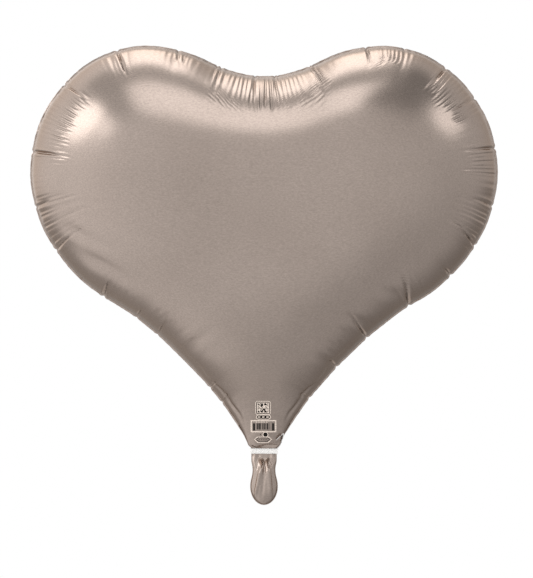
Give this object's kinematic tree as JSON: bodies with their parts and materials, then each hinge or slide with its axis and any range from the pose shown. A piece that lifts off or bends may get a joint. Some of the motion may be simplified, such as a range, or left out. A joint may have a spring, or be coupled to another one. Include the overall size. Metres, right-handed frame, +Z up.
{
  "type": "heart-shaped foil balloon",
  "caption": "Inflated heart-shaped foil balloon with a rim seal, a tied neck, a flat film valve and an inflated filling tail.",
  "frame": {"origin": "middle of the tied neck, where the ribbon is wound", "axes": "+Z up from the tie to the lobes, -Y is the front, X runs across the heart"},
  "size_m": [0.622, 0.3, 0.612],
  "materials": {
    "foil": "satin metallised film, champagne grey",
    "valve_film": "clear polyethylene film",
    "ribbon": "white curling ribbon, soft gloss"
  },
  "bodies": {
    "heart": {"front_foil": "foil", "back_foil": "foil", "valve_front_film": "valve_film", "valve_back_film": "valve_film", "tie_ribbon": "ribbon"},
    "tail": {"front_tail_foil": "foil", "back_tail_foil": "foil", "valve_inlet_sleeve": "valve_film"}
  },
  "joints": [
    {"name": "tail_fold", "type": "hinge", "parent": "heart", "child": "tail", "pos_m": [0, 0, -0.0054], "axis": [1, 0, 0], "range_deg": [-75, 75]}
  ]
}
